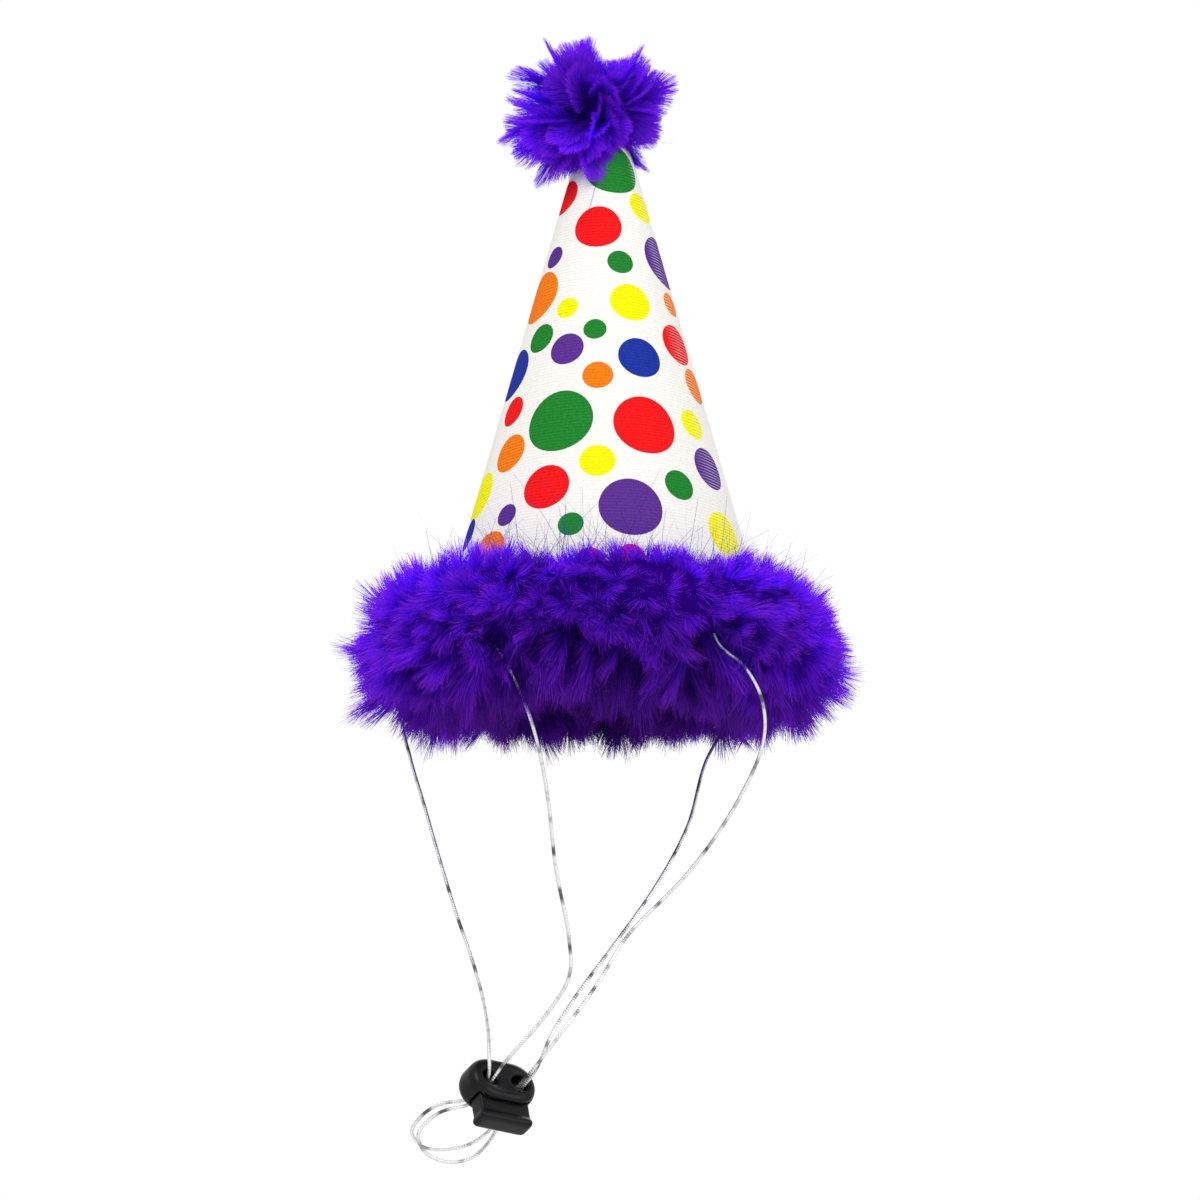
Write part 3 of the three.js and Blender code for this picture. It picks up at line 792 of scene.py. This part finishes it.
def cut_cloth(dots):
    """The flat cut's corners, its triangles and the place of each one's colour in the print."""
    points, edges = cut_points(dots)
    corners, _, triangles, _, _, _ = delaunay_2d_cdt(points, edges, [], 0, SAME_POINT)
    names = list(PRINT_COLOURS)
    kept = []
    slots = []
    for triangle in triangles:
        middle = sum((corners[i] for i in triangle), Vector((0, 0))) / len(triangle)
        beyond = abs(atan2(middle.y, middle.x)) > CUT_EDGE + SLACK
        if beyond or not CUT_NEAR * TIP_CHORD < middle.length < CUT_FAR + SLACK:
            continue
        colour = "cream"
        for name, place, radius in dots:
            if (middle - place).length < radius:
                colour = name
        kept.append(tuple(triangle))
        slots.append(names.index(colour))
    return corners, kept, slots


def lap_lift(place):
    """One edge laps over the other at the back, each giving way by half the cloth."""
    angle = atan2(place.y, place.x)
    past = (abs(angle) - HALF_TURN + LAP_TURN * 1.5) / (LAP_TURN * 2)
    ease = min(max(past * 2, 0), 1)
    rise = ease * ease * (3 - 2 * ease) * (CONE_WALL / 2 + LAP_ROOM)
    return rise if angle > 0 else -rise


def open_edges(faces):
    """The edges that only one face has, in that face's direction."""
    edges = {}
    for face in faces:
        for start, end in zip(face, face[1:] + face[:1]):
            if (end, start) in edges:
                del edges[(end, start)]
            else:
                edges[(start, end)] = True
    return list(edges)


def make_cloth():
    """Cuts the cloth flat with every dot's outline in its mesh, rolls it up and gives it thickness."""
    materials = [
        cloth_material(f"cloth_{name}", colour, name != "cream") for name, colour in PRINT_COLOURS.items()
    ]
    materials.append(cloth_material("cloth_back", CLOTH_BACK, False))
    corners, front, slots = cut_cloth(printed_dots())
    outer = [rolled(place, lap_lift(place)) for place in corners]
    inner = [rolled(place, lap_lift(place) - CONE_WALL) for place in corners]
    shift = len(outer)
    border = open_edges(front)
    faces = front + [tuple(i + shift for i in reversed(face)) for face in front]
    faces += [(end, start, start + shift, end + shift) for start, end in border]
    slots += [len(PRINT_COLOURS)] * (len(front) + len(border))
    cloth = add_mesh("printed_cone", outer + inner, faces, materials)
    cloth.data.polygons.foreach_set("material_index", slots)
    add_uv(cloth, "flat_cut", list(corners) * 2)
    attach(cloth, "hat")
    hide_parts("cone_shell")


# The feathers

def unit(vectors):
    return vectors / np.linalg.norm(vectors, axis=-1, keepdims=True)


def keep_off_cone(points, gap):
    """Pushes points out of the cone's wall and hollow, as the cloth pushes the feathers aside."""
    radius = np.hypot(points[..., 0], points[..., 1])
    least = OPENING_RADIUS - SLOPE * points[..., 2] + gap
    blocked = (points[..., 2] > -gap) & (points[..., 2] < CONE_HEIGHT) & (radius < least)
    scale = np.where(blocked, least / np.maximum(radius, SLACK), 1)
    points[..., 0] *= scale
    points[..., 1] *= scale


def tuck_behind_cord(points, route):
    """Presses the barbs in front of a cord back behind it, where it lies on the brim."""
    path = smooth_route(route, PRESSED_STEPS)
    path = path[(path[:, 2] > PRESSED_DOWN_TO) & (path[:, 2] < PRESSED_FROM)]
    x, y, z = points[..., 0], points[..., 1], points[..., 2]
    near = (x > path[:, 0].min() - PRESSED_WIDTH) & (y < path[:, 1].max())
    near &= (z > PRESSED_DOWN_TO - PRESSED_WIDTH) & (z < PRESSED_FROM + PRESSED_WIDTH)
    barbs = points[near]
    beside = barbs[:, None, [0, 2]] - path[None, :, [0, 2]]
    distance = np.hypot(beside[..., 0], beside[..., 1])
    behind = path[distance.argmin(axis=1), 1] + PRESSED_DEPTH
    pressed = (distance.min(axis=1) < PRESSED_WIDTH) & (barbs[:, 1] < behind)
    barbs[pressed, 1] = behind[pressed]
    points[near] = barbs


# Painted shade and light: barbs darken towards their roots and pale towards their tips
def plume_colours(tipness, tones):
    lower = np.clip(tipness * 2, 0, 1)[..., None]
    upper = np.clip(tipness * 2 - 1, 0, 1)[..., None]
    colour = PLUME_ROOT + (PLUME_MIDDLE - PLUME_ROOT) * lower + (PLUME_TIP - PLUME_MIDDLE) * upper
    return colour * np.broadcast_to(tones, tipness.shape)[..., None]


def fan(rng, count, barbs, looseness):
    """Where each barb goes in its feather: along as a share of the length, across of the half width."""
    around = rng.uniform(-ROUND_SWEEP, ROUND_SWEEP, (count, barbs))
    ripple = rng.uniform(0, 2 * pi, (count, len(EDGE_WAVES), 1))
    edge = np.ones((count, barbs))
    for wave, (rounds, depth) in enumerate(EDGE_WAVES):
        edge += depth * np.sin(rounds * around + ripple[:, wave])
    edge *= rng.uniform(1 - BARB_SHORTER * looseness, BARB_LONGEST, (count, barbs))
    tip_along = ROUND_FROM + (1 - ROUND_FROM) * np.cos(around) * edge
    start = rng.uniform(0, START_UP_TO, (count, barbs)) * tip_along
    eased = BARB_STEPS * (1 + BARB_EASE - BARB_EASE * BARB_STEPS)
    along = start[..., None] + (tip_along - start)[..., None] * eased
    across = (np.sin(around) * edge)[..., None] * BARB_STEPS**BARB_SPREAD
    return along, across


def lobes(rng, roots, outs, leans, bows, reaches, widths, tones, barbs, looseness):
    """Many feathers at once: each bows over from its root and its barbs fan out to a round fringed tip."""
    count = len(roots)
    along, across = fan(rng, count, barbs, looseness)
    first, curl = bows[:, 0, None, None], bows[:, 1, None, None]
    bow = first + curl * along
    forward = (np.sin(bow) - np.sin(first)) / curl
    sideways = (np.cos(first) - np.cos(bow)) / curl
    lengths = reaches * bows[:, 1] / (np.sin(bows.sum(axis=1)) - np.sin(bows[:, 0]))
    out, lean = outs[:, None, None], leans[:, None, None]
    half_width = widths[:, None, None]
    side = np.cross(out, lean)
    face = lean * np.cos(bow)[..., None] - out * np.sin(bow)[..., None]
    stray = rng.normal(0, BARB_STRAY * looseness, (count, barbs, 1)) * BARB_STEPS
    depth = CUP_DEPTH * half_width * across**2 + stray
    middle = roots[:, None, None] + lengths[:, None, None, None] * (
        out * forward[..., None] + lean * sideways[..., None]
    )
    middle = middle + side * (half_width * across)[..., None] + face * depth[..., None]
    flat = unit(np.cross(face, np.gradient(middle, axis=2)))
    twist = rng.normal(0, BARB_TURN * looseness, (count, barbs, 1, 1))
    offset = (flat * np.cos(twist) + face * np.sin(twist)) * (BARB_WIDTH / 2 * BARB_TAPER)[:, None]
    sections = np.stack([middle - offset, middle + offset], axis=3)
    tipness = PALE_ROOT + PALE_ALONG * along + PALE_ACROSS * np.abs(across) + PALE_TIP * BARB_STEPS
    tipness = np.clip(tipness, 0, 1)
    shade = plume_colours(tipness, tones[:, None, None] * rng.normal(1, BARB_TINT, (count, barbs, 1)))
    flat_shape = (count * barbs, len(BARB_STEPS))
    return sections.reshape(*flat_shape, 2, 3), shade.reshape(*flat_shape, 3)


def leaning(outs, angle):
    """Unit vectors square to each way out, turned by the angle about it."""
    level = unit(np.cross(np.array((0.0, 0.0, 1.0)), outs))
    return level * np.cos(angle)[:, None] + np.cross(outs, level) * np.sin(angle)[:, None]


def round_section(turn, tilt):
    """Unit vectors in the upright plane at each turn, tilted up or down from straight out."""
    return np.stack([np.cos(turn) * np.cos(tilt), np.sin(turn) * np.cos(tilt), np.sin(tilt)], axis=1)


def make_wisps(rng, marabou, name, roots, ways, lengths):
    """Long single barbs that stray out of the feathers and over the cone."""
    count = len(roots)
    steps = np.linspace(0, 1, WISP_STEPS)
    bend = rng.normal(0, WISP_BEND, (count, 3))
    middle = roots[:, None] + lengths[:, None, None] * (
        ways[:, None] * steps[None, :, None] + bend[:, None] * steps[None, :, None] ** 2
    )
    across = unit(np.cross(ways, rng.normal(size=(count, 3))))
    offset = across[:, None] * (WISP_WIDTH / 2 * (1 - WISP_TAPER * steps))[None, :, None]
    sections = np.stack([middle - offset, middle + offset], axis=2)
    keep_off_cone(sections, BRIM_GAP)
    tipness = np.broadcast_to(np.linspace(*WISP_COLOURS, WISP_STEPS), (count, WISP_STEPS))
    return add_strips(name, sections, plume_colours(tipness, np.full((count, 1), WISP_TONE)), marabou)


def finish_plumes(piece, node):
    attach(piece, "hat")
    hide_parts(node)


def brim_length(turn, tilt):
    """The brim's feather length at each turn and tilt in radians, blended over the table."""
    table = np.array(BRIM_LENGTHS) * MM
    place = np.degrees(turn) % 360 / 360 * len(table)
    low = place.astype(int) % len(table)
    share = place - np.floor(place)
    columns = np.stack([np.interp(np.degrees(tilt), BRIM_TILTS, row) for row in table], axis=1)
    picked = np.arange(len(turn))
    return columns[picked, low] * (1 - share) + columns[picked, (low + 1) % len(table)] * share


def swirl(turn, tilt):
    """How the brim's feathers turn about their way out, so that those side by side lie together."""
    return 3 * np.sin(2 * turn + 1.7) + 2 * np.cos(3 * tilt + 4 * turn)


def brim_quarter(rng, part):
    """One part of the brim's feathers: the sections of their barbs and the colours."""
    count = BRIM_LOBES // BRIM_PIECES
    lowest, highest = radians(BRIM_TILTS[0]), radians(BRIM_TILTS[-1])
    place = part * count + np.arange(count)
    turn = 2 * pi * (part + place * EVEN_TURN % 1) / BRIM_PIECES
    tilt = lowest + (highest - lowest) * (place * EVEN_TILT % 1)
    outs = unit(round_section(turn, tilt) + rng.normal(0, WAY_STRAY, (count, 3)))
    roots = round_section(turn, tilt) * BRIM_CORE
    roots[:, :2] += np.stack([np.cos(turn), np.sin(turn)], axis=1) * BRIM_CORD_RADIUS
    roots[:, 2] += BRIM_CORD_HEIGHT
    leans = leaning(outs, swirl(turn, tilt) + rng.normal(0, SWIRL_STRAY, count))
    bows = rng.uniform(*BRIM_BOWS, (count, 2))
    reaches = brim_length(turn, tilt) * rng.uniform(*BRIM_UNEVEN, count)
    widths = np.minimum(rng.uniform(*BRIM_HALF_WIDTHS, count), reaches * WIDEST_SHARE)
    # Painted shade and light: darker feathers underneath, brighter ones on top and at the sides
    shadow = np.interp(np.degrees(tilt), SHADE_TILTS, SHADE_TONES)
    tones = shadow * (1 + PAINTED_SIDE_LIGHT * np.cos(2 * turn)) * rng.uniform(*BRIM_TINTS, count)
    return lobes(rng, roots, outs, leans, bows, reaches, widths, tones, BRIM_BARBS, BRIM_LOOSENESS)


def make_brim(marabou, down):
    rng = np.random.default_rng(BRIM_SEED)
    for part in range(BRIM_PIECES):
        sections, shade = brim_quarter(rng, part)
        keep_off_cone(sections, BRIM_GAP)
        tuck_behind_cord(sections, FRONT_ROUTE)
        finish_plumes(add_strips(f"marabou_brim_{part + 1}", sections, shade, marabou), "brim_feathers")
    finish_plumes(make_painted_shade_ring(down), "brim_feathers")
    turn = rng.uniform(-pi, pi, BRIM_WISPS)
    ways = round_section(turn, rng.uniform(*BRIM_WISP_TILTS, BRIM_WISPS))
    ways = unit(ways + rng.normal(0, BRIM_WISP_SPREAD, ways.shape))
    roots = round_section(turn, np.zeros(BRIM_WISPS)) * (BRIM_CORD_RADIUS + BRIM_WISP_OUT)
    roots += ways * BRIM_WISP_ROOT
    roots[:, 2] += BRIM_CORD_HEIGHT
    longest = BRIM_WISP * (SIDE_WISP + (1 - SIDE_WISP) * np.abs(np.sin(turn)))
    lengths = rng.uniform(SHORTEST_WISP, 1, BRIM_WISPS) ** WISP_POWER * longest
    finish_plumes(make_wisps(rng, marabou, "brim_wisps", roots, ways, lengths), "brim_feathers")


def make_painted_shade_ring(down):
    """The dark lumpy down inside the brim, round the feather cord: painted shade for the fluff's shaded
    depths.
    """
    lumps = np.random.default_rng(DOWN_SEED).normal(0, 1, (DOWN_LUMPS, 4))
    vertices, faces = [], []
    for step in range(DOWN_TURNS):
        turn = 2 * pi * step / DOWN_TURNS
        for side in range(DOWN_SIDES):
            tilt = 2 * pi * side / DOWN_SIDES
            swell = 1 + LUMP_DEPTH * sum(
                size * sin(phase * 2 + (n + 1) * turn * 2 + int(abs(waves_across) * 2) * tilt)
                for n, (size, phase, waves_across, _) in enumerate(lumps)
            )
            reach = DOWN_REACH * swell
            radius = BRIM_CORD_RADIUS + DOWN_OUT + reach * cos(tilt)
            height = BRIM_CORD_HEIGHT - DOWN_DROP + reach * sin(tilt)
            vertices.append((radius * cos(turn), radius * sin(turn), height))
            here, after = step * DOWN_SIDES, (step + 1) % DOWN_TURNS * DOWN_SIDES
            beside = (side + 1) % DOWN_SIDES
            faces.append((here + side, after + side, after + beside, here + beside))
    places = np.array(vertices)
    keep_off_cone(places, DOWN_GAP)
    return add_mesh("brim_painted_shade", places, faces, [down])


def make_pompom(marabou, down):
    rng = np.random.default_rng(POMPOM_SEED)
    turns, tilts, reaches, widths = np.repeat(np.array(POMPOM_TUFTS), LOBES_PER_TUFT, axis=0).T
    count = len(turns)
    outs = round_section(np.radians(turns), np.radians(tilts))
    outs = unit(outs + rng.normal(0, WAY_STRAY, (count, 3)))
    leans = leaning(outs, rng.uniform(-pi, pi, count))
    bows = rng.uniform(*POMPOM_BOWS, (count, 2))
    tones = np.repeat(rng.uniform(*POMPOM_TINTS, len(POMPOM_TUFTS)), LOBES_PER_TUFT)
    tones += rng.normal(0, TINT_STRAY, count)
    roots = np.array(POMPOM_TIE) + outs * POMPOM_CORE * POMPOM_ROOT
    reaches = reaches * MM * rng.uniform(*POMPOM_UNEVEN, count)
    widths = widths * MM * rng.uniform(*POMPOM_WIDEN, count)
    sections, shade = lobes(
        rng, roots, outs, leans, bows, reaches, widths, tones, POMPOM_BARBS, POMPOM_LOOSENESS
    )
    keep_off_cone(sections, POMPOM_GAP)
    finish_plumes(add_strips("marabou_pompom", sections, shade, marabou), "pompom_feathers")
    finish_plumes(make_painted_shade_ball(down), "pompom_feathers")
    turn = rng.uniform(-pi, pi, POMPOM_WISPS)
    ways = round_section(turn, rng.uniform(*POMPOM_WISP_TILTS, POMPOM_WISPS))
    roots = np.array(POMPOM_TIE) + ways * POMPOM_CORE
    lengths = rng.uniform(POMPOM_SHORTEST, 1, POMPOM_WISPS) * POMPOM_WISP
    finish_plumes(make_wisps(rng, marabou, "pompom_wisps", roots, ways, lengths), "pompom_feathers")


def make_painted_shade_ball(down):
    """The dark heart of the pompom, where its feathers are tied: painted shade for its shaded depths."""
    vertices, faces = [], []
    for row in range(HEART_ROWS + 1):
        lift = pi * row / HEART_ROWS - pi / 2
        for side in range(HEART_SIDES):
            turn = 2 * pi * side / HEART_SIDES
            swell = POMPOM_CORE * (1 + HEART_LUMP * sin(3 * turn + 4 * lift) * cos(lift))
            vertices.append((
                POMPOM_HEART.x + swell * cos(lift) * cos(turn),
                POMPOM_HEART.y + swell * cos(lift) * sin(turn) * HEART_DEPTH,
                POMPOM_HEART.z + swell * HEART_HEIGHT * sin(lift),
            ))
    for row in range(HEART_ROWS):
        here, above = row * HEART_SIDES, (row + 1) * HEART_SIDES
        for side, beside in closed_loop(0, HEART_SIDES):
            faces.append((here + side, here + beside, above + beside, above + side))
    return add_mesh("pompom_painted_shade", vertices, faces, [down], smooth=False)


# The cord lock

def dress_lock(plastic):
    """Softens the moulded edges of both halves and gives them their plastic."""
    for name in ("lock_barrel", "lock_plunger"):
        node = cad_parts[name]
        for slot in node.material_slots:
            slot.material = plastic
        moulded = node.modifiers.new("moulded", "REMESH")
        moulded.mode = "VOXEL"
        moulded.voxel_size = LOCK_VOXEL
        moulded.use_smooth_shade = True
        eased = node.modifiers.new("eased", "SMOOTH")
        eased.factor = 0.5
        eased.iterations = LOCK_EASING


make_camera()
make_light()
make_floor()
make_cords(elastic_material())
make_cloth()
marabou = plume_material()
down = painted_shade_material()
make_brim(marabou, down)
make_pompom(marabou, down)
dress_lock(lock_material())
